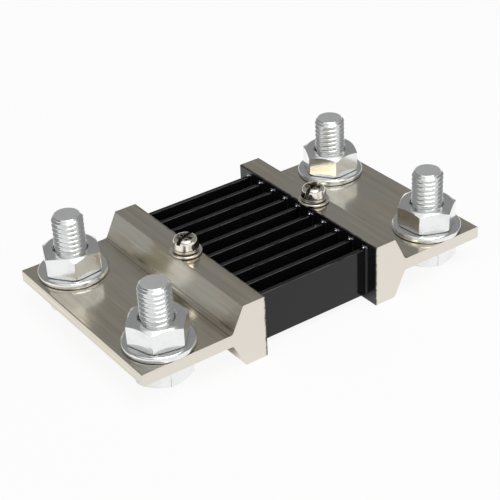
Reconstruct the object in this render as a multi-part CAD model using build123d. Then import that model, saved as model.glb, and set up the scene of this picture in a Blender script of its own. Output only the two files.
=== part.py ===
from build123d import *
from math import atan, cos, degrees, radians, tan
import os

# Current shunt resistor in millimetres: two end blocks, with ten flat resistance strips brazed between them.
# X runs along the current, Y along the blocks and +Z up. The origin is on the surface that the blocks stand
# on, below the middle of the part. Left is -X, right is +X, front is -Y and back is +Y.

# Body
body_width = 80.0          # length of each end block along Y
strip_span = 46.8          # clear distance between the inner faces of the end blocks
block_height = 23.4
plate_reach = 48.2         # from an inner face to the free end of its terminal plate
plate_thickness = 4.5      # the plate lies at half the height of the block
jaw_top_width = 8.8        # flat top, and flat underside, of the thick part that holds the strips
jaw_foot_width = 13.5      # the same thick part where its flanks meet the plate
foot_radius = 1.2
edge_radius = 0.4          # long edges of the drawn bar

# Resistance strips
strip_count = 10
strip_thickness = 1.6
strip_height = 18.5
strip_side_margin = 5.0    # from the sawn face of a block to the outermost strip
strip_edge_chamfer = 0.25
braze_leg = 0.6            # size of the braze fillet around each strip end
braze_lip = 0.1            # thickness that is left at the thin end of that fillet

# Terminal bolts, nuts and washers
bolt_diameter = 12.0
bolt_pitch_diameter = 10.9 # middle of the thread: the solids use it from the head to just above the nut
bolt_length = 27.6         # below the head
bolt_tip_chamfer = 1.6
bolt_head_height = 7.3
hex_across_flats = 19.0
hex_chamfer_angle = 30.0
hex_face_ratio = 0.94      # round upper face of a nut, as a share of its width across flats
bolt_hole_play = 1.0       # hole diameter beyond the bolt diameter, in the plate and the washer
bolt_side_inset = 12.1     # bolt axis to the sawn face of the block
bolt_end_inset = 14.1      # bolt axis to the free end of the plate
washer_diameter = 25.0
washer_thickness = 2.1
nut_height = 8.3
thread_gap = 0.05          # radial room between a thread and what it is screwed into
thread_start = 0.3         # height above the nut at which the free thread begins at its full diameter

# Sense screws, one on each block
sense_diameter = 5.0
sense_length = 10.0        # below the head
sense_hole_spare = 1.5     # depth of the tapped hole past the end of the screw
sense_head_diameter = 9.5
sense_head_height = 3.9
sense_head_side = 2.0      # height of the straight side of the head, below its sloping shoulder
sense_crown_diameter = 6.8 # flat top of the head, inside the shoulder
sense_slot_width = 1.5
sense_slot_depth = 1.5
cross_wing_width = 1.1
cross_radius = 2.7
cross_depth = 2.5
sense_hole_play = 0.4      # hole diameter in its two washers, beyond the screw diameter
spring_washer_diameter = 9.2
spring_washer_thickness = 1.3
spring_washer_gap = 0.7
spring_washer_slant = 25.0
flat_washer_diameter = 11.4
flat_washer_thickness = 1.0

# Directions that the hexagons and the slots were left in, in degrees about Z
nut_turns = {"front_left": 48.0, "front_right": 35.0, "back_left": 8.0, "back_right": 5.0}
head_turns = {"front_left": 15.0, "front_right": 12.0, "back_left": 12.0, "back_right": 40.0}
sense_slot_turn = -22.0
spring_gap_turn = 70.0

# Places worked out from the sizes above
inner_face_x = strip_span / 2
plate_end_x = inner_face_x + plate_reach
jaw_edge_x = inner_face_x + jaw_top_width
foot_x = inner_face_x + jaw_foot_width
plate_bottom_z = (block_height - plate_thickness) / 2
plate_top_z = plate_bottom_z + plate_thickness
bolt_x = plate_end_x - bolt_end_inset
bolt_y = body_width / 2 - bolt_side_inset
sense_x = inner_face_x + jaw_top_width / 2
strip_bottom_z = (block_height - strip_height) / 2
strip_row_y = body_width / 2 - strip_side_margin - strip_thickness / 2
strip_pitch = 2 * strip_row_y / (strip_count - 1)
bolt_hole_radius = (bolt_diameter + bolt_hole_play) / 2
sense_washer_hole_radius = (sense_diameter + sense_hole_play) / 2
sides = {"left": -1, "right": 1}
ends = {"front": -1, "back": 1}


def turned(points):
    """Solid of revolution about Z from (radius, height) points joined by straight lines."""
    return revolve(Plane.XZ * make_face(Polyline(*points, close=True)), Axis.Z)


def ring(outer_radius, inner_radius, height):
    """Flat ring that stands on z = 0."""
    return turned([(inner_radius, 0), (outer_radius, 0), (outer_radius, height), (inner_radius, height)])


def hexagon(height):
    """Hexagonal bar that stands on z = 0, with a corner towards +X."""
    return extrude(RegularPolygon(hex_across_flats / 2 / cos(radians(30)), 6), height)


def block_profile():
    """Section of a block in X and Z, with its feet and its long edges rounded."""
    half = [(inner_face_x, 0), (jaw_edge_x, 0), (foot_x, plate_bottom_z), (plate_end_x, plate_bottom_z)]
    outline = half + [(x, block_height - z) for x, z in reversed(half)]
    profile = make_face(Polyline(*outline, close=True))
    profile = fillet([corner for corner in profile.vertices() if at_x(corner, foot_x)], foot_radius)
    edges = [corner for corner in profile.vertices()
             if any(at_x(corner, x) for x in (inner_face_x, jaw_edge_x, plate_end_x))]
    return fillet(edges, edge_radius)


def at_x(corner, x):
    """Whether a vertex lies at x."""
    return abs(corner.X - x) < 1e-6


def end_block(side):
    """Drawn bar: a jaw that tapers above and below to its plate, drilled for two bolts and a sense screw."""
    block = extrude(Plane.XZ * block_profile(), body_width / 2, both=True)
    for end in ends.values():
        block -= Pos(bolt_x, end * bolt_y, block_height / 2) * Cylinder(bolt_hole_radius, block_height)
    block -= Pos(sense_x, 0, block_height) * sense_hole()
    return block if side > 0 else mirror(block, Plane.YZ)


def sense_hole():
    """Tapped blind hole down from z = 0."""
    washers = flat_washer_thickness + spring_washer_thickness
    depth = sense_length - washers + sense_hole_spare
    return Cylinder(sense_diameter / 2 + thread_gap, 2 * depth)


def resistor_strip(y):
    """Flat strip that stands on edge between the two inner faces."""
    strip = Pos(0, y, strip_bottom_z + strip_height / 2) * Box(strip_span, strip_thickness, strip_height)
    return chamfer(strip.edges().filter_by(Axis.X), strip_edge_chamfer)


def braze_fillet(side, strip, y):
    """Sloping collar of braze around one strip end, against the inner face of a block."""
    root = Plane(origin=(side * inner_face_x, y, strip_bottom_z + strip_height / 2), x_dir=(0, 1, 0),
                 z_dir=(-side, 0, 0))
    wide = Rectangle(strip_thickness + 2 * braze_leg, strip_height + 2 * braze_leg)
    slope = degrees(atan((braze_leg - braze_lip) / braze_leg))
    return extrude(root * wide, braze_leg, taper=slope) - strip


def bolt():
    """Hexagon head bolt, with the bearing face of its head at z = 0 and its shank upwards."""
    radius = bolt_diameter / 2 - thread_gap
    grip = bolt_pitch_diameter / 2 - thread_gap
    free = plate_thickness + washer_thickness + nut_height + thread_start
    buried = bolt_head_height / 2
    shank = turned([(0, -buried), (grip, -buried), (grip, free), (radius, free),
                    (radius, bolt_length - bolt_tip_chamfer), (radius - bolt_tip_chamfer, bolt_length),
                    (0, bolt_length)])
    return Pos(0, 0, -bolt_head_height) * hexagon(bolt_head_height) + shank


def nut():
    """Hexagon nut on z = 0, with the corners of its upper face chamfered to a cone."""
    face_radius = hex_face_ratio * hex_across_flats / 2
    reach = hex_across_flats
    foot = nut_height - (reach - face_radius) * tan(radians(hex_chamfer_angle))
    cone = turned([(0, foot - nut_height), (reach, foot - nut_height), (reach, foot),
                   (face_radius, nut_height), (0, nut_height)])
    return (hexagon(nut_height) & cone) - Cylinder(bolt_pitch_diameter / 2, 3 * nut_height)


def sense_screw():
    """Pan head screw with its bearing face at z = 0, with a slot and a deeper cross in its crown."""
    head = sense_head_diameter / 2
    shank = sense_diameter / 2
    screw = turned([(0, -sense_length), (shank, -sense_length), (shank, 0), (head, 0),
                    (head, sense_head_side), (sense_crown_diameter / 2, sense_head_height),
                    (0, sense_head_height)])
    slot = Box(3 * head, sense_slot_width, 2 * sense_slot_depth)
    wing = Box(2 * cross_radius, cross_wing_width, 2 * cross_depth)
    return screw - Pos(0, 0, sense_head_height) * (slot + wing + Rot(0, 0, 90) * wing)


def spring_washer():
    """Split ring on z = 0, with a slanting gap at +X."""
    radius = spring_washer_diameter / 2
    cut = Rot(spring_washer_slant, 0, 0) * Box(radius, spring_washer_gap, 4 * spring_washer_thickness)
    body = ring(radius, sense_washer_hole_radius, spring_washer_thickness)
    return body - Pos(radius, 0, spring_washer_thickness / 2) * cut


def write(part, name):
    """Export one node under its name."""
    part.label = name
    export_step(part, f"parts/{name}.step")


def write_blocks():
    """The two end blocks."""
    for name, side in sides.items():
        write(end_block(side), f"end_block_{name}")


def write_strips():
    """The row of strips, and the braze at both ends of each."""
    places = [strip_pitch * index - strip_row_y for index in range(strip_count)]
    strips = [resistor_strip(y) for y in places]
    for number, strip in enumerate(strips, start=1):
        write(strip, f"resistor_strip_{number:02d}")
    for name, side in sides.items():
        collars = [braze_fillet(side, strip, y).solid() for strip, y in zip(strips, places)]
        write(Compound(children=collars), f"braze_{name}")


def write_terminals():
    """Bolt, washer and nut at each of the four bolt holes."""
    washer = ring(washer_diameter / 2, bolt_hole_radius, washer_thickness)
    for end_name, end in ends.items():
        for side_name, side in sides.items():
            corner = f"{end_name}_{side_name}"
            place = Pos(side * bolt_x, end * bolt_y, 0)
            head_turn = Rot(0, 0, head_turns[corner])
            nut_turn = Rot(0, 0, nut_turns[corner])
            write(place * Pos(0, 0, plate_bottom_z) * head_turn * bolt(), f"bolt_{corner}")
            write(place * Pos(0, 0, plate_top_z) * washer, f"washer_{corner}")
            write(place * Pos(0, 0, plate_top_z + washer_thickness) * nut_turn * nut(), f"nut_{corner}")


def write_sense_screws():
    """Sense screw with its spring washer and flat washer on each block."""
    for name, side in sides.items():
        seat = Pos(side * sense_x, 0, block_height)
        spring_seat = seat * Pos(0, 0, flat_washer_thickness)
        screw_seat = spring_seat * Pos(0, 0, spring_washer_thickness)
        flat = ring(flat_washer_diameter / 2, sense_washer_hole_radius, flat_washer_thickness)
        write(seat * flat, f"sense_flat_washer_{name}")
        write(spring_seat * Rot(0, 0, spring_gap_turn) * spring_washer(), f"sense_spring_washer_{name}")
        write(screw_seat * Rot(0, 0, sense_slot_turn) * sense_screw(), f"sense_screw_{name}")


os.makedirs("parts", exist_ok=True)
write_blocks()
write_strips()
write_terminals()
write_sense_screws()
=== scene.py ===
"""Current shunt resistor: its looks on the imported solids, with the floor, the light and the camera.

Everything is in metres, in the frame of the solids: X along the current, Y along the end blocks and Z up.
"""

from __future__ import annotations

import logging
import math
from contextlib import contextmanager
from dataclasses import dataclass, field
from enum import Enum
from typing import Callable, Iterator, Optional, Sequence, Union

import bmesh
import bpy
from mathutils import Matrix, Vector


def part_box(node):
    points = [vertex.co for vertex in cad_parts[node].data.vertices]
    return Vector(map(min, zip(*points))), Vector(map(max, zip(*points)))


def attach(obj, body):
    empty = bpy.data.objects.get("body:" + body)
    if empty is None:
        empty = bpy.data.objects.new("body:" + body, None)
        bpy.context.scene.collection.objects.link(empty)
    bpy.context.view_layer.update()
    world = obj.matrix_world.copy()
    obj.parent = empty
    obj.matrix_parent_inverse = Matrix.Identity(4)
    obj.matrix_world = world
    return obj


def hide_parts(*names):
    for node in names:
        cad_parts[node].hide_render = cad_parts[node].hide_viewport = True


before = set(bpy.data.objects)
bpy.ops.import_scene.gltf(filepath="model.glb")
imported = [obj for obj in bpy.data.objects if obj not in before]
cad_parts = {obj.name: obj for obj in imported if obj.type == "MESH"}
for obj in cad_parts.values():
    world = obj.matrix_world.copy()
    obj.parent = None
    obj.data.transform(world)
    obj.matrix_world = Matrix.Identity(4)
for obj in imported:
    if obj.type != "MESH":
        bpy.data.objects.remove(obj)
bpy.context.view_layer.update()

MM = 0.001
SAME_POINT = 1e-7
ROOT = "root"
log = logging.getLogger("shunt")

Piece = bpy.types.Object
Finish = bpy.types.Material
Colour = tuple[float, float, float]
Point = tuple[float, float]
Corner3 = tuple[float, float, float]
Four = tuple[float, float, float, float]


class Slot(Enum):
    """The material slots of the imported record."""

    BLOCK = "nickel_plated_block"
    PAINT = "black_paint"
    ZINC = "zinc_plated_steel"
    SCREW = "nickel_plated_screw"


class Side(Enum):
    """The two ends of the current path, with the sign of their X."""

    LEFT = -1
    RIGHT = 1

    @property
    def label(self) -> str:
        """The word that node names use for this side."""
        return self.name.lower()


class Post(Enum):
    """The four terminal bolts, with the words that node names use for them."""

    FRONT_LEFT = "front_left"
    FRONT_RIGHT = "front_right"
    BACK_LEFT = "back_left"
    BACK_RIGHT = "back_right"


class Element(Enum):
    """What a selection in edit mode picks."""

    POINTS = "VERT"
    EDGES = "EDGE"
    FACES = "FACE"


class Cut(Enum):
    """How one closed shape changes another."""

    KEEP_COMMON = "INTERSECT"
    ADD = "UNION"
    TAKE_AWAY = "DIFFERENCE"


class Bench:
    """Modelling tools, each of which works on one piece with everything else deselected."""

    @staticmethod
    def clear() -> None:
        """Leaves edit mode and deselects every object."""
        if bpy.context.object and bpy.context.object.mode != "OBJECT":
            bpy.ops.object.mode_set(mode="OBJECT")
        bpy.ops.object.select_all(action="DESELECT")

    @staticmethod
    def hold(piece: Piece) -> None:
        """Selects one piece alone and makes it the active one.

        Args:
            piece: The piece that the next operators act on.
        """
        Bench.clear()
        piece.select_set(True)
        bpy.context.view_layer.objects.active = piece

    @staticmethod
    @contextmanager
    def editing(piece: Piece) -> Iterator[None]:
        """Holds a piece in edit mode, with all of it selected, for the length of a with block.

        Args:
            piece: The piece to edit.
        """
        Bench.hold(piece)
        bpy.ops.object.mode_set(mode="EDIT")
        bpy.ops.mesh.select_mode(type=Element.POINTS.value)
        bpy.ops.mesh.select_all(action="SELECT")
        yield
        bpy.ops.object.mode_set(mode="OBJECT")

    @staticmethod
    def pick(piece: Piece, element: Element, test: Callable[[object], bool]) -> None:
        """Selects the edges or the faces of a piece in edit mode that pass a test.

        Args:
            piece: The piece that is being edited.
            element: What kind of element is picked.
            test: Says whether an element is picked.
        """
        bpy.ops.mesh.select_mode(type=element.value)
        bpy.ops.mesh.select_all(action="DESELECT")
        shape = bmesh.from_edit_mesh(piece.data)
        for item in shape.edges if element is Element.EDGES else shape.faces:
            if test(item):
                item.select_set(True)
        shape.select_flush_mode()
        bmesh.update_edit_mesh(piece.data)

    @staticmethod
    def named(name: str) -> Piece:
        """Names the piece that an operator has just added.

        Args:
            name: The name for the piece and its mesh.

        Returns:
            The piece.
        """
        piece = bpy.context.object
        piece.name = piece.data.name = name
        return piece

    @staticmethod
    def close_up() -> None:
        """Merges doubled points and turns all faces outwards, in edit mode."""
        bpy.ops.mesh.select_all(action="SELECT")
        bpy.ops.mesh.remove_doubles(threshold=SAME_POINT)
        bpy.ops.mesh.normals_make_consistent(inside=False)

    @staticmethod
    def changed(piece: Piece, kind: str, **settings: object) -> None:
        """Changes a piece with a modifier, which is applied at once.

        Args:
            piece: The piece.
            kind: The modifier's type.
            settings: The modifier's settings.
        """
        Bench.hold(piece)
        modifier = piece.modifiers.new(kind, kind)
        for name, setting in settings.items():
            setattr(modifier, name, setting)
        bpy.ops.object.modifier_apply(modifier=modifier.name)

    @staticmethod
    def traced(name: str, outline: Sequence[Point]) -> Piece:
        """Draws an outline of (radius, height) points in the XZ plane as a chain of edges.

        Args:
            name: The name of the piece.
            outline: The points, in order. A closed outline ends with its first point.

        Returns:
            The chain of edges.
        """
        Bench.clear()
        bpy.ops.mesh.primitive_plane_add(size=MM, location=(0, 0, 0))
        piece = Bench.named(name)
        with Bench.editing(piece):
            bpy.ops.mesh.merge(type="CENTER")
            bpy.ops.transform.translate(value=(outline[0][0], 0, outline[0][1]))
            for start, end in zip(outline, outline[1:]):
                step = (end[0] - start[0], 0, end[1] - start[1])
                bpy.ops.mesh.extrude_region_move(TRANSFORM_OT_translate={"value": step})
        return piece

    @staticmethod
    def turned(name: str, outline: Sequence[Point], steps: int = 96) -> Piece:
        """Spins an outline of (radius, height) points about Z into a closed shape.

        Args:
            name: The name of the piece.
            outline: The points, in order, from axis to axis or back to the first point.
            steps: How many steps make the full turn.

        Returns:
            The turned piece.
        """
        piece = Bench.traced(name, outline)
        with Bench.editing(piece):
            bpy.ops.mesh.spin(steps=steps, angle=math.tau, center=(0, 0, 0), axis=(0, 0, 1))
            Bench.close_up()
        return piece

    @staticmethod
    def ring(name: str, bore: float, rim: float, height: float, edges: Four, steps: int, spins: int) -> Piece:
        """Spins a washer on z = 0. Its edges' roundings start at the bore's lower one and go round by the rim."""
        corners = list(zip((bore, rim, rim, bore), (0, 0, height, height), edges))
        return Bench.turned(name, rounded(corners, steps), spins)

    @staticmethod
    def wound(name: str, outline: Sequence[Point], pitch: float, turns: int, steps: int = 48) -> Piece:
        """Winds an outline of one pitch about Z into a screw thread, and closes both its ends.

        Args:
            name: The name of the piece.
            outline: The (radius, height) points over one pitch.
            pitch: The rise of one turn.
            turns: How many turns the thread has.
            steps: How many steps make one turn.

        Returns:
            The closed thread.
        """
        piece = Bench.traced(name, outline)
        Bench.changed(piece, "SCREW", axis="Z", angle=math.tau, screw_offset=pitch, iterations=turns, steps=steps,
                      render_steps=steps, use_merge_vertices=False)
        middle = pitch * (turns + 1) / 2
        with Bench.editing(piece):
            bpy.ops.mesh.remove_doubles(threshold=SAME_POINT)
            for above in (False, True):
                Bench.pick(piece, Element.EDGES, lambda edge: edge.is_boundary
                           and (edge.verts[0].co.z > middle) == above)
                bpy.ops.mesh.extrude_region_move()
                bpy.ops.mesh.merge(type="CENTER")
            Bench.close_up()
        return piece

    @staticmethod
    def combine(piece: Piece, other: Piece, cut: Cut) -> None:
        """Changes one closed piece by another, which is used up."""
        Bench.changed(piece, "BOOLEAN", operation=cut.value, solver="EXACT", object=other)
        Bench.discard(other)

    @staticmethod
    def discard(*pieces: Piece) -> None:
        """Removes pieces that were only patterns or cutters, with their meshes."""
        for mesh in [piece.data for piece in pieces]:
            bpy.data.meshes.remove(mesh)

    @staticmethod
    def box(name: str, low: Corner3, high: Corner3) -> Piece:
        """Adds a block between two corners, as the start of a piece or as a cutter.

        Args:
            name: The name of the piece.
            low: The lowest corner.
            high: The highest corner.

        Returns:
            The block, with its place in its mesh.
        """
        Bench.clear()
        middle = [(a + b) / 2 for a, b in zip(low, high)]
        bpy.ops.mesh.primitive_cube_add(size=1, location=middle, scale=[b - a for a, b in zip(low, high)])
        piece = Bench.named(name)
        bpy.ops.object.transform_apply()
        return piece

    @staticmethod
    def soften(piece: Piece, width: float, angle: float) -> None:
        """Rounds the edges of a piece that are sharper than an angle in degrees."""
        Bench.changed(piece, "BEVEL", width=width, segments=2, limit_method="ANGLE",
                      angle_limit=math.radians(angle))

    @staticmethod
    def smooth(piece: Piece, angle: float) -> None:
        """Shades a piece smooth, with its flat faces kept flat.

        Args:
            piece: The piece.
            angle: The least angle, in degrees, of an edge that stays sharp.
        """
        Bench.hold(piece)
        bpy.ops.object.shade_smooth_by_angle(angle=math.radians(angle))
        Bench.changed(piece, "WEIGHTED_NORMAL", keep_sharp=True, weight=60)

    @staticmethod
    def copied(pattern: Piece, name: str, place: Corner3, turn: float = 0.0) -> Piece:
        """Copies a pattern, with a mesh of its own that holds its place.

        Args:
            pattern: The piece to copy.
            name: The name of the copy.
            place: Where the pattern's origin goes.
            turn: The turn about Z, in degrees.

        Returns:
            The copy, whose object sits at the origin.
        """
        piece = pattern.copy()
        piece.data = pattern.data.copy()
        piece.name = piece.data.name = name
        bpy.context.scene.collection.objects.link(piece)
        piece.location = place
        piece.rotation_euler = (0, 0, math.radians(turn))
        Bench.hold(piece)
        bpy.ops.object.transform_apply()
        return piece

    @staticmethod
    def joined(name: str, pieces: Sequence[Piece]) -> Piece:
        """Joins pieces into one.

        Args:
            name: The name of the joined piece.
            pieces: The pieces, which are used up.

        Returns:
            The joined piece.
        """
        Bench.hold(pieces[0])
        for piece in pieces:
            piece.select_set(True)
        bpy.ops.object.join()
        return Bench.named(name)


def rounded(corners: Sequence[tuple[float, float, float]], steps: int = 4) -> list[Point]:
    """Rounds the corners of an outline.

    Args:
        corners: Each corner's radius from the axis, height and rounding.
        steps: How many steps each rounding has.

    Returns:
        The points of the rounded outline, closed on its first point.
    """
    points: list[Point] = []
    for index, (across, up, bend) in enumerate(corners):
        here = Vector((across, up))
        if not bend:
            points.append((across, up))
            continue
        back = (Vector(corners[index - 1][:2]) - here).normalized()
        ahead = (Vector(corners[(index + 1) % len(corners)][:2]) - here).normalized()
        half = back.angle(ahead) / 2
        centre = here + (back + ahead).normalized() * bend / math.sin(half)
        start = here + back * bend / math.tan(half) - centre
        end = here + ahead * bend / math.tan(half) - centre
        first = math.atan2(start.y, start.x)
        sweep = (math.atan2(end.y, end.x) - first + math.pi) % math.tau - math.pi
        for step in range(steps + 1):
            angle = first + sweep * step / steps
            points.append((centre.x + bend * math.cos(angle), centre.y + bend * math.sin(angle)))
    return points + points[:1]


def dress(piece: Piece, finish: Finish, slot: Slot, *nodes: str,
          inside: Optional[Finish] = None) -> None:
    """Gives a new piece its finish, ties it to the part and lets it stand for its solids.

    Args:
        piece: The finished piece.
        finish: Its material.
        slot: The record's slot that the finish belongs to; not used.
        nodes: The names of the solids that the piece replaces.
        inside: The material of the faces that are marked with the material number 1.
    """
    marks = [face.material_index for face in piece.data.polygons]
    piece.data.materials.clear()
    piece.data.materials.append(finish)
    if inside:
        piece.data.materials.append(inside)
        piece.data.polygons.foreach_set("material_index", marks)
    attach(piece, ROOT)
    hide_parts(*nodes)
    log.info("%s: %d faces, for %s", piece.name, len(piece.data.polygons), ", ".join(nodes))


def middle_of(node: str) -> Vector:
    """Finds the middle of a solid in X and Y, at its lowest height."""
    low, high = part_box(node)
    return Vector(((low.x + high.x) / 2, (low.y + high.y) / 2, low.z))


class Wire:
    """A value in a material. Sums and products of wires add the maths nodes that work them out."""

    def __init__(self, sheet: Sheet, socket: bpy.types.NodeSocket) -> None:
        """Wraps a socket of a sheet of nodes."""
        self.sheet = sheet
        self.socket = socket

    def maths(self, operation: str, *values: Value) -> Wire:
        """Adds a maths node that works out an operation on values."""
        return self.sheet.node("ShaderNodeMath", {"operation": operation}, dict(enumerate(values)))

    def __add__(self, other: Value) -> Wire:
        """This value plus another."""
        return self.maths("ADD", self, other)

    def __radd__(self, other: Value) -> Wire:
        """Another value plus this one."""
        return self.maths("ADD", other, self)

    def __sub__(self, other: Value) -> Wire:
        """This value less another."""
        return self.maths("SUBTRACT", self, other)

    def __rsub__(self, other: Value) -> Wire:
        """Another value less this one."""
        return self.maths("SUBTRACT", other, self)

    def __mul__(self, other: Value) -> Wire:
        """This value times another."""
        return self.maths("MULTIPLY", self, other)

    def __rmul__(self, other: Value) -> Wire:
        """Another value times this one."""
        return self.maths("MULTIPLY", other, self)

    def __abs__(self) -> Wire:
        """This value without its sign."""
        return self.maths("ABSOLUTE", self)

    def __gt__(self, other: Value) -> Wire:
        """One where this value is over another, and zero elsewhere."""
        return self.maths("GREATER_THAN", self, other)

    def most(self, other: Value) -> Wire:
        """The greater of this value and another."""
        return self.maths("MAXIMUM", self, other)

    def eased(self, start: float, end: float) -> Wire:
        """Rises smoothly from zero, where this value is at start, to one, where it is at end."""
        return self.sheet.node("ShaderNodeMapRange", {"interpolation_type": "SMOOTHSTEP"},
                               {"Value": self, "From Min": start, "From Max": end})

    def band(self, zone: Sequence[float]) -> Wire:
        """One between the middle two of four values, easing to zero at the outer two."""
        return self.eased(zone[0], zone[1]) * self.eased(zone[3], zone[2])


Value = Union[Wire, float, Sequence[float]]


class Sheet:
    """The nodes of one material or of the world."""

    def __init__(self, owner: Union[Finish, bpy.types.World]) -> None:
        """Clears the owner's nodes and starts a new sheet.

        Args:
            owner: What the nodes belong to.
        """
        owner.use_nodes = True
        self.owner = owner
        self.tree = owner.node_tree
        self.tree.nodes.clear()

    def node(self, kind: str, settings: dict[str, object], inputs: dict[Union[int, str], Value],
             output: Union[int, str] = 0) -> Wire:
        """Adds any node.

        Args:
            kind: The node's type.
            settings: Its settings, which are set first. The setting stops gives the stops of a ramp.
            inputs: The values or wires of its input sockets, by name or number.
            output: The output socket that is wanted.

        Returns:
            The output.
        """
        made = self.tree.nodes.new(kind)
        for name, setting in settings.items():
            if name == "stops":
                for index, (position, colour) in enumerate(setting):
                    stops = made.color_ramp.elements
                    stop = stops[index] if index < len(stops) else stops.new(position)
                    stop.position, stop.color = position, colour
            else:
                setattr(made, name, setting)
        for name, value in inputs.items():
            socket = made.inputs[name]
            if isinstance(value, Wire):
                self.tree.links.new(value.socket, socket)
            else:
                socket.default_value = value
        return Wire(self, made.outputs[output])

    def place(self) -> Wire:
        """The place on the object, in metres."""
        return self.node("ShaderNodeTexCoord", {}, {}, "Object")

    def along(self, axis: str) -> Wire:
        """The place on the object along one axis, X, Y or Z, in metres."""
        return self.node("ShaderNodeSeparateXYZ", {}, {"Vector": self.place()}, axis)

    def cloud(self, stretch: Corner3, detail: float = 3.0, shift: float = 0.0) -> Wire:
        """Soft noise about 0.5, finer along the axes with a larger stretch. A shift makes it differ from others."""
        moved = self.node("ShaderNodeMapping", {"vector_type": "POINT"},
                          {"Vector": self.place(), "Scale": stretch, "Location": (shift, shift, shift)})
        return self.node("ShaderNodeTexNoise", {}, {"Vector": moved, "Scale": 1.0, "Detail": detail})

    def blend(self, share: Value, first: Value, second: Value) -> Wire:
        """Mixes two colours.

        Args:
            share: How much of the second colour there is.
            first: The colour at zero.
            second: The colour at one.

        Returns:
            The mixed colour.
        """
        first, second = (colour if isinstance(colour, Wire) else (*colour, 1.0) for colour in (first, second))
        return self.node("ShaderNodeMix", {"data_type": "RGBA"}, {0: share, 6: first, 7: second}, 2)

    def relief(self, height: Value, depth: float, strength: float) -> Wire:
        """Bumps the surface by a height, which is a share of the depth in metres, to a part of its strength."""
        return self.node("ShaderNodeBump", {}, {"Height": height, "Distance": depth, "Strength": strength})

    def seams(self, heights: Sequence[float], depth: float) -> Wire:
        """Marks a thin dark line of painted shade just above each seam between pieces that lie on each other.

        Args:
            heights: The heights of the seams.
            depth: How far up each line reaches.

        Returns:
            One in a line, and zero elsewhere.
        """
        height = self.along("Z")
        onset = (0.01 * MM, 0.03 * MM)
        marks: Value = 0.0
        for seam in heights:
            marks = height.band([seam + rise for rise in (*onset, depth / 2, depth)]).most(marks)
        return marks

    def surface(self, inputs: dict[str, Value]) -> Finish:
        """Ends a material's sheet with its main shader, and returns the material."""
        self.end(self.node("ShaderNodeBsdfPrincipled", {}, inputs))
        return self.owner

    def end(self, shader: Wire, kind: str = "ShaderNodeOutputMaterial") -> None:
        """Links a shader to the sheet's output, which is a node of the given kind."""
        made = self.tree.nodes.new(kind)
        self.tree.links.new(shader.socket, made.inputs["Surface"])


def shaded(colour: Colour, share: float) -> Colour:
    """Makes a colour darker, with the given share of it left."""
    return tuple(channel * share for channel in colour)


@dataclass(frozen=True)
class DrawnNickel:
    """Satin nickel plate over drawn bar: streaks along Y, sawn ends, paint on the inner faces, and painted shade on
    the lower outer flanks.
    """

    tone: Colour = (0.80, 0.735, 0.61)
    stain_and_shade: Colour = (0.55, 0.47, 0.35)
    cool: Colour = (0.66, 0.65, 0.575)
    fresh: Colour = (0.77, 0.725, 0.65)
    paint: Colour = (0.006, 0.006, 0.007)
    scorched: Colour = (0.16, 0.12, 0.08)
    painted_to: float = 23.7 * MM
    paint_edge: float = 0.06 * MM
    paint_waver: float = 1.1 * MM
    scorched_to: float = 24.3 * MM
    sawn_from: float = 39.9 * MM
    foot_zone: Four = (35 * MM, 37.5 * MM, 38.5 * MM, 47 * MM)
    flank_shade_zone: Four = (33.2 * MM, 35.5 * MM, 36.5 * MM, 38.5 * MM)
    foot_lines: tuple[Corner3, ...] = (
        (36.3 * MM, 0.25 * MM, 0.5), (38.0 * MM, 0.3 * MM, 0.85), (39.4 * MM, 0.2 * MM, 0.45))

    def material(self) -> Finish:
        """Builds the material.

        Returns:
            The finish of the end blocks.
        """
        sheet = Sheet(bpy.data.materials.new("drawn_nickel"))
        across = abs(sheet.along("X"))
        sawn = abs(sheet.along("Y")) > self.sawn_from
        streaks = sheet.cloud((2600, 22, 2600), detail=4)
        broad = sheet.cloud((330, 7, 330), shift=3.0)
        patches = sheet.cloud((70, 45, 70), detail=4, shift=7.0)
        veils = sheet.cloud((110, 35, 110), shift=11.0)
        saw_marks = sheet.cloud((300, 1, 3800), shift=1.0)
        ragged = sheet.cloud((900, 500, 900), detail=2, shift=5.0)
        reach = across + (ragged - 0.5) * self.paint_waver
        painted = reach.eased(self.painted_to + self.paint_edge, self.painted_to - self.paint_edge)
        browned = reach.eased(self.scorched_to, self.painted_to)
        # Darker in random patches, and more so in a band about the jaw's foot.
        darkening = across.band(self.foot_zone) * patches.eased(0.35, 0.75) * 0.8 + patches.eased(0.5, 0.8) * 0.35
        metal = sheet.blend(darkening, self.tone, self.stain_and_shade)
        # Painted shade: the lower outer flank and the foot of each jaw are darkened.
        metal = sheet.blend(across.band(self.flank_shade_zone) * 0.75, metal, shaded(self.stain_and_shade, 0.75))
        metal = sheet.blend(streaks.eased(0.35, 0.7) * 0.6 + broad.eased(0.35, 0.65) * 0.4, metal,
                            shaded(self.tone, 0.74))
        metal = sheet.blend(veils.eased(0.42, 0.6) * 0.7, metal, self.cool)
        # Broken dark lines along Y beside the jaw's foot.
        for line, width, depth in self.foot_lines:
            metal = sheet.blend(abs(across - line).eased(width, 0.0) * patches.eased(0.25, 0.6) * depth, metal,
                                shaded(self.stain_and_shade, 0.4))
        metal = sheet.blend(sawn, metal, self.fresh)
        metal = sheet.blend(browned * 0.8, metal, self.scorched)
        rough = 0.1 + streaks * 0.08 + patches * 0.08 + sawn * 0.2
        height = (1 - sawn) * (streaks * 0.22 + broad) + sawn * saw_marks * 0.2
        return sheet.surface({
            "Base Color": sheet.blend(painted, metal, self.paint),
            "Metallic": 1 - painted,
            "Roughness": rough * (1 - painted) + painted * 0.2,
            "Normal": sheet.relief(height, depth=0.04 * MM, strength=0.6),
        })


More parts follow.
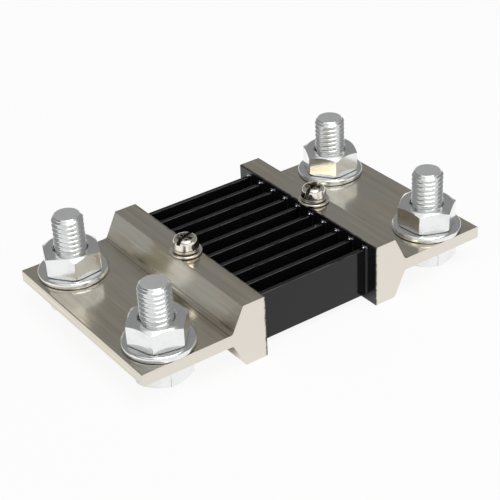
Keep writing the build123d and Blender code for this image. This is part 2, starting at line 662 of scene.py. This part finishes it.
@dataclass(frozen=True)
class BlackPaint:
    """Gloss black paint with a soft skin and dust, bare on the beads, and lighter along the strips' upper edges,
    partly from wear and partly as a painted highlight.
    """

    tone: Colour = (0.005, 0.005, 0.006)
    dust: Colour = (0.1, 0.1, 0.1)
    wear_and_sheen: Colour = (0.085, 0.085, 0.09)
    bare: Colour = (0.66, 0.64, 0.67)
    bead_from: float = 22.0 * MM
    bead_above: Point = (21.3 * MM, 21.5 * MM)
    strip_half_pitch: float = 3.8 * MM
    sheen_side: Point = (0.56 * MM, 0.68 * MM)
    sheen_top: Point = (20.65 * MM, 20.8 * MM)

    def material(self) -> Finish:
        """Builds the material.

        Returns:
            The finish of the strips and the braze.
        """
        sheet = Sheet(bpy.data.materials.new("black_paint"))
        skin = sheet.cloud((200, 500, 400), detail=2)
        specks = sheet.cloud((2600, 2600, 2600), detail=1, shift=9.0).eased(0.74, 0.77)
        side, height = sheet.along("Y"), sheet.along("Z")
        at_end = abs(sheet.along("X")) > self.bead_from
        bead = at_end * height.eased(*self.bead_above)
        off_middle = self.strip_half_pitch - side.maths("PINGPONG", side, self.strip_half_pitch)
        # Lighter lines along the strips' upper edges: partly paint wear, partly a painted highlight of the rounded
        # edges.
        edge = off_middle.eased(*self.sheen_side) * height.eased(*self.sheen_top)
        sheen_and_wear = edge * (1 - at_end) * skin.eased(0.2, 0.6)
        colour = sheet.blend(sheen_and_wear, sheet.blend(specks, self.tone, self.dust), self.wear_and_sheen)
        return sheet.surface({
            "Base Color": sheet.blend(bead, colour, self.bare),
            "Metallic": bead,
            "Roughness": 0.06 + skin * 0.05 + specks * 0.3 + bead * 0.15,
            "IOR": 1.4,
            "Normal": sheet.relief(skin, depth=0.02 * MM, strength=0.3),
        })


@dataclass(frozen=True)
class ZincPlate:
    """Bright clear zinc plate on forged and rolled steel, slightly uneven and rubbed in places."""

    tone: Colour = (0.88, 0.89, 0.885)
    dull: Colour = (0.70, 0.71, 0.70)
    seam_shade: Colour = (0.05, 0.05, 0.045)
    seams: tuple[float, ...] = (13.95 * MM, 16.05 * MM)
    seam_depth: float = 0.36 * MM
    tips_above: float = 37.0 * MM

    def material(self) -> Finish:
        """Builds the material.

        Returns:
            The finish of the bolts, nuts and terminal washers.
        """
        sheet = Sheet(bpy.data.materials.new("zinc_plate"))
        patches = sheet.cloud((190, 190, 190), detail=4)
        grain = sheet.cloud((1500, 1500, 1500), shift=4.0)
        rubs = sheet.cloud((500, 500, 2600), shift=6.0)
        metal = sheet.blend(patches.eased(0.45, 0.75) * 0.4 + grain.eased(0.5, 0.8) * 0.3, self.tone, self.dull)
        tip = sheet.along("Z") > self.tips_above
        return sheet.surface({
            # Painted shade: a thin dark line just above each seam where a nut or washer sits on what is below it.
            "Base Color": sheet.blend(sheet.seams(self.seams, self.seam_depth) * 0.9, metal, self.seam_shade),
            "Metallic": 1.0,
            "Roughness": 0.1 + patches * 0.08 + rubs * 0.06 + tip * 0.3,
            "Normal": sheet.relief(grain * (0.2 + tip * 1.5) + patches * 0.8, depth=0.03 * MM, strength=0.5),
        })


@dataclass(frozen=True)
class ScrewNickel:
    """Bright nickel plate on the small screws and their washers."""

    tone: Colour = (0.86, 0.81, 0.73)
    dull: Colour = (0.55, 0.50, 0.43)
    seam_shade: Colour = (0.08, 0.07, 0.055)
    brown: Colour = (0.15, 0.125, 0.095)
    seams: tuple[float, ...] = (23.4 * MM, 24.4 * MM, 25.7 * MM)
    seam_depth: float = 0.5 * MM
    axis_x: float = 27.8 * MM
    struck_above: float = 28.3 * MM
    struck_radius: Point = (3.2 * MM, 2.72 * MM)

    def material(self) -> Finish:
        """Builds the material.

        Returns:
            The finish of the sense screws and their washers.
        """
        sheet = Sheet(bpy.data.materials.new("screw_nickel"))
        patches = sheet.cloud((420, 420, 420), detail=4)
        dents = sheet.cloud((900, 900, 900), shift=4.0)
        off_x, off_y = abs(sheet.along("X")) - self.axis_x, sheet.along("Y")
        square = off_x * off_x + off_y * off_y
        radius = square.maths("SQRT", square)
        struck = (sheet.along("Z") > self.struck_above) * radius.eased(*self.struck_radius)
        metal = sheet.blend(patches.eased(0.45, 0.75) * 0.5, self.tone, self.dull)
        metal = sheet.blend(struck * dents.eased(0.44, 0.54), metal, self.brown)
        return sheet.surface({
            # Painted shade: a thin dark line just above each seam where a washer or the screw head sits on what is
            # below it.
            "Base Color": sheet.blend(sheet.seams(self.seams, self.seam_depth), metal, self.seam_shade),
            "Metallic": 1.0,
            "Roughness": 0.05 + patches * 0.06 + struck * 0.08,
            "Normal": sheet.relief(dents * (0.15 + struck * 1.6), depth=0.12 * MM, strength=0.5),
        })


@dataclass(frozen=True)
class ShadedRecess:
    """Painted shade in the slot and the cross of the small screws: rough dark metal with bright flecks."""

    dark: Colour = (0.1, 0.088, 0.07)
    fleck: Colour = (0.75, 0.70, 0.62)

    def material(self) -> Finish:
        """Builds the material.

        Returns:
            The finish inside the recess of the screws, dark as painted shade.
        """
        sheet = Sheet(bpy.data.materials.new("shaded_recess"))
        flecks = sheet.cloud((1800, 1800, 1800), detail=2)
        return sheet.surface({
            "Base Color": sheet.blend(flecks.eased(0.5, 0.62), self.dark, self.fleck),
            "Metallic": 1.0,
            "Roughness": 0.3,
            "Normal": sheet.relief(flecks, depth=0.1 * MM, strength=0.6),
        })


@dataclass
class EndBlocks:
    """The two end blocks, which keep their solids."""

    finish: Finish

    def dress(self) -> None:
        """Gives both solids their finish."""
        for side in Side:
            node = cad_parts[f"end_block_{side.label}"]
            node.data.materials.clear()
            node.data.materials.append(self.finish)
            log.info("%s: solid kept, in %s", node.name, self.finish.name)


@dataclass
class StripRow:
    """The ten resistance strips and the braze at their ends."""

    finish: Finish
    count: int = 10
    edge: float = 0.22 * MM
    leg: float = 0.6 * MM
    lip: float = 0.1 * MM
    rings: int = 6
    play: float = 0.004 * MM
    bead_radius: float = 0.58 * MM
    bead_sunk: float = 0.12 * MM
    places: list[Vector] = field(default_factory=list)

    def build(self) -> None:
        """Builds the strips first, and then the braze around them."""
        low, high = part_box("resistor_strip_01")
        half = (high - low) / 2
        strip = Bench.box("strip_pattern", -half, half)
        with Bench.editing(strip):
            Bench.pick(strip, Element.EDGES, lambda edge: abs(edge.verts[0].co.x - edge.verts[1].co.x) > half.x)
            bpy.ops.mesh.bevel(offset=self.edge, segments=5, affect="EDGES")
        Bench.smooth(strip, 40)
        for number in range(1, self.count + 1):
            node = f"resistor_strip_{number:02d}"
            low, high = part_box(node)
            middle = (low + high) / 2
            self.places.append(middle)
            dress(Bench.copied(strip, f"painted_strip_{number:02d}", middle), self.finish, Slot.PAINT, node)
        Bench.discard(strip)
        self.braze(half)

    @staticmethod
    def sleeve(name: str, half: Vector, start: float, end: float, more: float) -> Piece:
        """Adds a block between two places in X, whose sides stand out from a strip's by more."""
        return Bench.box(name, (start, -half.y - more, -half.z - more), (end, half.y + more, half.z + more))

    def collar(self, half: Vector) -> Piece:
        """Models one hollow collar of braze, with its root at x = 0 and its thin end towards +X.

        Args:
            half: Half the size of a strip.

        Returns:
            The collar.
        """
        piece = self.sleeve("collar", half, 0, self.leg / self.rings, self.leg)
        with Bench.editing(piece):
            Bench.pick(piece, Element.FACES, lambda face: face.normal.x > 0.9)
            reach = self.leg
            for ring in range(1, self.rings + 1):
                angle = math.pi / 2 * ring / self.rings
                closer = self.lip + (self.leg - self.lip) * (1 - math.sin(angle))
                scale = (1, (half.y + closer) / (half.y + reach), (half.z + closer) / (half.z + reach))
                bpy.ops.transform.resize(value=scale, center_override=(0, 0, 0))
                reach = closer
                if ring < self.rings:
                    step = self.leg * (math.cos(angle) - math.cos(angle + math.pi / 2 / self.rings))
                    bpy.ops.mesh.extrude_region_move(TRANSFORM_OT_translate={"value": (step, 0, 0)})
            Bench.close_up()
        Bench.clear()
        bpy.ops.mesh.primitive_uv_sphere_add(segments=32, ring_count=16, radius=self.bead_radius,
                                             location=(self.bead_radius, 0, half.z + self.bead_sunk))
        bead = Bench.named("bead")
        bpy.ops.object.transform_apply()
        for shape in (piece, bead):
            Bench.combine(shape, self.sleeve("strip_room", half, -self.leg, 4 * self.leg, self.play), Cut.TAKE_AWAY)
        Bench.combine(piece, bead, Cut.ADD)
        return piece

    def braze(self, half: Vector) -> None:
        """Puts a collar around both ends of each strip.

        Args:
            half: Half the size of a strip.
        """
        pattern = self.collar(half)
        for side in Side:
            turn = 0 if side is Side.LEFT else 180
            collars = [Bench.copied(pattern, f"collar_{index}", (middle.x + side.value * half.x, middle.y, middle.z),
                                    turn) for index, middle in enumerate(self.places)]
            group = Bench.joined(f"braze_fillets_{side.label}", collars)
            Bench.smooth(group, 50)
            dress(group, self.finish, Slot.PAINT, f"braze_{side.label}")
        Bench.discard(pattern)


@dataclass
class TerminalHardware:
    """The bolt, washer and nut at the four corners. The turns of nuts and heads are in the order of Post."""

    finish: Finish
    flats: float = 19.0 * MM
    face: float = 0.94
    foot: float = 1.03
    slope: float = 30.0
    edge: float = 0.18 * MM
    face_edge: float = 0.5 * MM
    head_height: float = 7.3 * MM
    head_corner: float = 0.35 * MM
    bolt_length: float = 27.6 * MM
    buried: float = 0.5 * MM
    crest: float = 5.65 * MM
    root: float = 4.7 * MM
    pitch: float = 1.75 * MM
    ridge_parts: int = 14
    sunk_turns: float = 2.2
    tip_chamfer: float = 1.2 * MM
    tip_edge: float = 0.25 * MM
    nut_height: float = 8.3 * MM
    bore: float = 5.8 * MM
    countersink: float = 0.7 * MM
    washer_radius: float = 12.5 * MM
    washer_bore: float = 6.5 * MM
    washer_thickness: float = 2.1 * MM
    washer_edges: Four = (0, 0.45 * MM, 0.9 * MM, 0.15 * MM)
    nut_turns: Four = (48.0, 35.0, 8.0, 5.0)
    head_turns: Four = (15.0, 12.0, 12.0, 40.0)

    def hexagon(self, name: str, height: float, above: bool) -> Piece:
        """Models a hexagonal bar with a corner at +X, with one end chamfered to a cone. A nut's foot is eased too.

        Args:
            name: The name of the piece.
            height: Its height.
            above: Whether the chamfered end is the upper one.

        Returns:
            The hexagon, standing on z = 0.
        """
        Bench.clear()
        corner = self.flats / 2 / math.cos(math.radians(30))
        bpy.ops.mesh.primitive_cylinder_add(vertices=6, radius=corner, depth=height, location=(0, 0, height / 2),
                                            rotation=(0, 0, math.radians(30)))
        piece = Bench.named(name)
        bpy.ops.object.transform_apply()
        with Bench.editing(piece):
            Bench.pick(piece, Element.EDGES, lambda edge: abs(edge.verts[0].co.z - edge.verts[1].co.z) > height / 2)
            bpy.ops.mesh.bevel(offset=self.head_corner, segments=4, affect="EDGES")
        flat, foot = self.face * self.flats / 2, self.foot * self.flats / 2
        reach, slant = corner + MM, math.tan(math.radians(self.slope))
        rise, lift = (reach - flat) * slant, (reach - foot) * slant
        outline = [(0, 0, 0), (flat, 0, self.face_edge), (reach, rise, 0), (reach, height, 0), (0, height, 0)]
        if above:
            outline = [(0, 0, 0), (foot, 0, 0), (reach, lift, 0), (reach, height - rise, 0),
                       (flat, height, self.face_edge), (0, height, 0)]
        cone = Bench.turned("chamfers", rounded(outline), steps=120)
        Bench.combine(piece, cone, Cut.KEEP_COMMON)
        Bench.soften(piece, self.edge, 20)
        return piece

    def bolt(self) -> Piece:
        """Models a bolt with its thread, with the bearing face of its head at z = 0.

        Returns:
            The bolt.
        """
        crest, root, parts = self.crest, self.root, self.ridge_parts
        ridge = [((crest + root) / 2 - (crest - root) / 2 * math.cos(math.tau * part / parts),
                  self.pitch * part / parts) for part in range(parts + 1)]
        turns = math.ceil(self.bolt_length / self.pitch) + 3
        piece = Bench.wound("bolt_pattern", ridge, self.pitch, turns)
        with Bench.editing(piece):
            bpy.ops.transform.translate(value=(0, 0, -self.sunk_turns * self.pitch))
        top, tip = self.bolt_length, crest - self.tip_chamfer
        trim = [(0, -self.buried, 0), (crest + MM, -self.buried, 0), (crest + MM, top - self.tip_chamfer - MM, 0),
                (tip, top, self.tip_edge), (0, top, 0)]
        Bench.combine(piece, Bench.turned("trim", rounded(trim)), Cut.KEEP_COMMON)
        head = self.hexagon("head", self.head_height, above=False)
        with Bench.editing(head):
            bpy.ops.transform.translate(value=(0, 0, -self.head_height))
        Bench.combine(head, piece, Cut.ADD)
        Bench.smooth(head, 28)
        return head

    def nut(self) -> Piece:
        """Models a nut on z = 0.

        Returns:
            The nut.
        """
        piece = self.hexagon("nut_pattern", self.nut_height, above=True)
        mouth = self.bore + self.countersink
        height = self.nut_height
        hole = [(0, -MM, 0), (mouth + MM, -MM, 0), (self.bore, self.countersink, 0),
                (self.bore, height - self.countersink, 0), (mouth + MM, height + MM, 0), (0, height + MM, 0)]
        Bench.combine(piece, Bench.turned("hole", rounded(hole)), Cut.TAKE_AWAY)
        Bench.smooth(piece, 28)
        return piece

    def build(self) -> None:
        """Models each fastener once and puts a copy at each corner."""
        bolt, nut = self.bolt(), self.nut()
        washer = Bench.ring("washer_pattern", self.washer_bore, self.washer_radius, self.washer_thickness,
                            self.washer_edges, steps=6, spins=128)
        Bench.smooth(washer, 50)
        for post, head_turn, nut_turn in zip(Post, self.head_turns, self.nut_turns):
            seat = middle_of(f"washer_{post.value}")
            for pattern, name, word, rise, turn in ((bolt, "threaded_bolt", "bolt", self.head_height, head_turn),
                                                    (washer, "stamped_washer", "washer", 0, 0),
                                                    (nut, "hexagon_nut", "nut", 0, nut_turn)):
                node = f"{word}_{post.value}"
                place = (seat.x, seat.y, middle_of(node).z + rise)
                dress(Bench.copied(pattern, f"{name}_{post.value}", place, turn), self.finish, Slot.ZINC, node)
        Bench.discard(bolt, nut, washer)


@dataclass
class SenseTerminals:
    """The small screw with two washers on each block."""

    finish: Finish
    recess_finish: Finish
    head: float = 4.75 * MM
    head_height: float = 3.9 * MM
    crown: float = 4.1 * MM
    crown_rise: float = 0.12 * MM
    shoulder: float = 1.7 * MM
    head_edge: float = 0.3 * MM
    cut_edge: float = 0.09 * MM
    shank: float = 2.5 * MM
    length: float = 10.0 * MM
    end_edge: float = 0.4 * MM
    slot_width: float = 1.5 * MM
    slot_depth: float = 1.5 * MM
    wing: float = 1.4 * MM
    cross: float = 2.9 * MM
    cross_tip: float = 1.1 * MM
    cross_depth: float = 2.5 * MM
    slot_turn: float = 22.0
    play: float = 0.01 * MM
    bore: float = 2.7 * MM
    spring: float = 4.6 * MM
    spring_height: float = 1.3 * MM
    spring_edges: Four = (0.12 * MM, 0.15 * MM, 0.15 * MM, 0.12 * MM)
    spring_gap: float = 0.7 * MM
    spring_slant: float = 25.0
    spring_turn: float = 70.0
    flat: float = 5.7 * MM
    flat_height: float = 1.0 * MM
    flat_edges: Four = (0.05 * MM, 0.2 * MM, 0.25 * MM, 0.1 * MM)

    def screw(self) -> Piece:
        """Models the screw, with its bearing face at z = 0.

        Returns:
            The screw.
        """
        head, height = self.head, self.head_height
        outline = [(0, -self.length, 0), (self.shank, -self.length, self.end_edge), (self.shank, 0, 0),
                   (head, 0, self.head_edge), (self.crown, height - self.crown_rise, self.shoulder), (0, height, 0)]
        piece = Bench.turned("screw_pattern", rounded(outline, steps=7)[:-1])
        slot = Bench.box("slot", (-2 * head, -self.slot_width / 2, height - self.slot_depth),
                         (2 * head, self.slot_width / 2, height + MM))
        Bench.combine(piece, slot, Cut.TAKE_AWAY)
        recess = Bench.box("recess", (-self.cross, -self.wing / 2, height - self.cross_depth),
                           (self.cross, self.wing / 2, height + MM))
        wing = Bench.copied(recess, "wing", (0, 0, 0), 90)
        Bench.combine(recess, wing, Cut.ADD)
        drop, open_radius = self.cross_depth, 2 * self.cross - self.cross_tip
        cone = Bench.turned("cone", [(0, height - drop - self.play), (self.cross_tip, height - drop),
                                     (open_radius, height + drop), (0, height + drop)], steps=48)
        Bench.combine(recess, cone, Cut.KEEP_COMMON)
        Bench.combine(piece, recess, Cut.TAKE_AWAY)
        with Bench.editing(piece):
            Bench.pick(piece, Element.FACES, self.hollowed)
            for face in bmesh.from_edit_mesh(piece.data).faces:
                face.material_index = int(face.select)
        Bench.soften(piece, self.cut_edge, 40)
        Bench.smooth(piece, 40)
        return piece

    def hollowed(self, face: object) -> bool:
        """Says whether a face of the screw lies in its slot or its cross.

        Args:
            face: The face.

        Returns:
            Whether it does.
        """
        middle = face.calc_center_median()
        across, along, down = abs(middle.y), abs(middle.x), self.head_height - middle.z - self.play
        in_slot = across < self.slot_width / 2 + self.play and down < self.slot_depth
        in_cross = min(across, along) < self.wing / 2 + self.play and max(across, along) < self.cross
        return in_slot or (in_cross and down < self.cross_depth)

    def spring_washer(self) -> Piece:
        """Models the split washer on z = 0, with its gap at +X.

        Returns:
            The washer.
        """
        height, half_gap = self.spring_height, self.spring_gap / 2
        piece = Bench.ring("spring_pattern", self.bore, self.spring, height, self.spring_edges, steps=3, spins=72)
        gap = Bench.box("gap", (0, -half_gap, -2 * height), (3 * self.spring, half_gap, 3 * height))
        with Bench.editing(gap):
            bpy.ops.transform.rotate(value=math.radians(self.spring_slant), orient_axis="X",
                                     center_override=(0, 0, height / 2))
        Bench.combine(piece, gap, Cut.TAKE_AWAY)
        Bench.smooth(piece, 50)
        return piece

    def build(self) -> None:
        """Models each piece once and puts a copy on each block."""
        screw, spring = self.screw(), self.spring_washer()
        flat = Bench.ring("flat_pattern", self.bore, self.flat, self.flat_height, self.flat_edges, steps=4, spins=96)
        Bench.smooth(flat, 50)
        for side in Side:
            seat = middle_of(f"sense_flat_washer_{side.label}")
            for pattern, name, word, rise, turn, inside in (
                    (flat, "lead_washer", "flat_washer", 0, 0, None),
                    (spring, "split_washer", "spring_washer", 0, self.spring_turn, None),
                    (screw, "pan_head_screw", "screw", self.length, self.slot_turn, self.recess_finish)):
                node = f"sense_{word}_{side.label}"
                place = (seat.x, seat.y, middle_of(node).z + rise)
                dress(Bench.copied(pattern, f"{name}_{side.label}", place, turn), self.finish, Slot.SCREW, node,
                      inside=inside)
        Bench.discard(screw, spring, flat)


@dataclass
class Studio:
    """The pale floor, the plain soft light and the camera at the photograph's angle."""

    target: Corner3 = (2.77 * MM, 5.85 * MM, 9.4 * MM)
    distance: float = 512.065 * MM
    azimuth: float = -34.265
    elevation: float = 31.273
    roll: float = -2.866
    lens: float = 101.76
    sensor: float = 36.0
    floor_size: float = 8.0
    floor_tone: Colour = (0.92, 0.92, 0.92)
    floor_glow: float = 0.9
    shade_x: Point = (74 * MM, 66 * MM)
    shade_y: Point = (38 * MM, 30 * MM)
    under_shade: float = 0.9
    lamp_watts: float = 3.6
    lamp_size: float = 0.6
    lamp_place: Corner3 = (0.0, -0.35, 0.93)
    front: Corner3 = (-0.563, -0.826, 0.0)
    front_edge: Point = (-0.05, 0.15)
    back_greys: tuple[Point, ...] = ((0.0, 0.3), (0.45, 0.26), (0.56, 0.27), (0.84, 0.27), (0.92, 0.85))
    front_greys: tuple[Point, ...] = ((0.0, 0.95), (0.55, 0.95), (0.6, 0.1), (0.76, 0.1), (0.82, 0.95))

    def camera(self) -> None:
        """Adds the camera and makes it the scene's own."""
        turn, lift, lean = (math.radians(angle) for angle in (self.azimuth, self.elevation, self.roll))
        back = Vector((math.sin(turn) * math.cos(lift), -math.cos(turn) * math.cos(lift), math.sin(lift)))
        level = Vector((math.cos(turn), math.sin(turn), 0))
        rise = back.cross(level)
        right = level * math.cos(lean) + rise * math.sin(lean)
        up = rise * math.cos(lean) - level * math.sin(lean)
        lens = bpy.data.cameras.new("camera")
        lens.lens, lens.sensor_width, lens.clip_start = self.lens, self.sensor, 10 * MM
        camera = bpy.data.objects.new("camera", lens)
        bpy.context.scene.collection.objects.link(camera)
        camera.matrix_world = Matrix.Translation(Vector(self.target) + back * self.distance) @ \
            Matrix((right, up, back)).transposed().to_4x4()
        bpy.context.scene.camera = camera

    def floor(self) -> None:
        """Adds the floor, which shows white and keeps the object's shadow."""
        Bench.clear()
        bpy.ops.mesh.primitive_grid_add(x_subdivisions=4, y_subdivisions=4, size=self.floor_size, location=(0, 0, 0))
        floor = Bench.named("floor")
        sheet = Sheet(bpy.data.materials.new("studio_floor"))
        under = abs(sheet.along("X")).eased(*self.shade_x) * abs(sheet.along("Y")).eased(*self.shade_y)
        mirrored = sheet.node("ShaderNodeLightPath", {}, {}, "Is Glossy Ray") * (1 - under * self.under_shade)
        seen = sheet.node("ShaderNodeLightPath", {}, {}, "Is Camera Ray").most(mirrored)
        seen = seen.most(sheet.node("ShaderNodeLightPath", {}, {}, "Is Transmission Ray"))
        matt = sheet.node("ShaderNodeBsdfDiffuse", {}, {"Color": (*self.floor_tone, 1)})
        glow = sheet.node("ShaderNodeEmission", {}, {"Color": (1, 1, 1, 1), "Strength": 1.0})
        sheet.end(sheet.node("ShaderNodeMixShader", {}, {0: seen * self.floor_glow, 1: matt, 2: glow}))
        floor.data.materials.append(sheet.owner)

    def light(self) -> None:
        """Adds a room with a grey back, a white front wall and a pale ceiling, and one soft lamp overhead."""
        world = bpy.data.worlds.new("room")
        bpy.context.scene.world = world
        sheet = Sheet(world)
        way = sheet.node("ShaderNodeTexCoord", {}, {}, "Generated")
        rise = sheet.node("ShaderNodeSeparateXYZ", {}, {"Vector": way}, "Z")
        ahead = sheet.node("ShaderNodeVectorMath", {"operation": "DOT_PRODUCT"}, {0: way, 1: self.front}, "Value")
        back, front = (sheet.node("ShaderNodeValToRGB", {"stops": [(at, (grey, grey, grey, 1)) for at, grey in greys]},
                                  {"Fac": rise}) for greys in (self.back_greys, self.front_greys))
        room = sheet.blend(ahead.eased(*self.front_edge), back, front)
        seen = sheet.node("ShaderNodeLightPath", {}, {}, "Is Camera Ray")
        room = sheet.blend(seen, room, (1.0, 1.0, 1.0))
        sheet.end(sheet.node("ShaderNodeBackground", {}, {"Color": room, "Strength": 1.0}), "ShaderNodeOutputWorld")
        lamp = bpy.data.lights.new("softbox", "AREA")
        lamp.shape, lamp.size, lamp.energy = "SQUARE", self.lamp_size, self.lamp_watts
        softbox = bpy.data.objects.new("softbox", lamp)
        bpy.context.scene.collection.objects.link(softbox)
        softbox.location = self.lamp_place
        softbox.rotation_euler = Vector(self.lamp_place).to_track_quat("Z", "Y").to_euler()

    def build(self) -> None:
        """Sets up the floor, the light, the camera and the plain view of colours."""
        self.floor()
        self.light()
        self.camera()
        bpy.context.scene.view_settings.view_transform = "Standard"
        log.info("studio: floor, room, lamp and camera")


def main() -> None:
    """Builds the part's pieces in order, then the studio."""
    logging.basicConfig(level=logging.INFO, format="%(name)s: %(message)s")
    Bench.clear()
    EndBlocks(DrawnNickel().material()).dress()
    StripRow(BlackPaint().material()).build()
    TerminalHardware(ZincPlate().material()).build()
    SenseTerminals(ScrewNickel().material(), ShadedRecess().material()).build()
    Studio().build()
    Bench.clear()


if __name__ == "__main__":
    main()
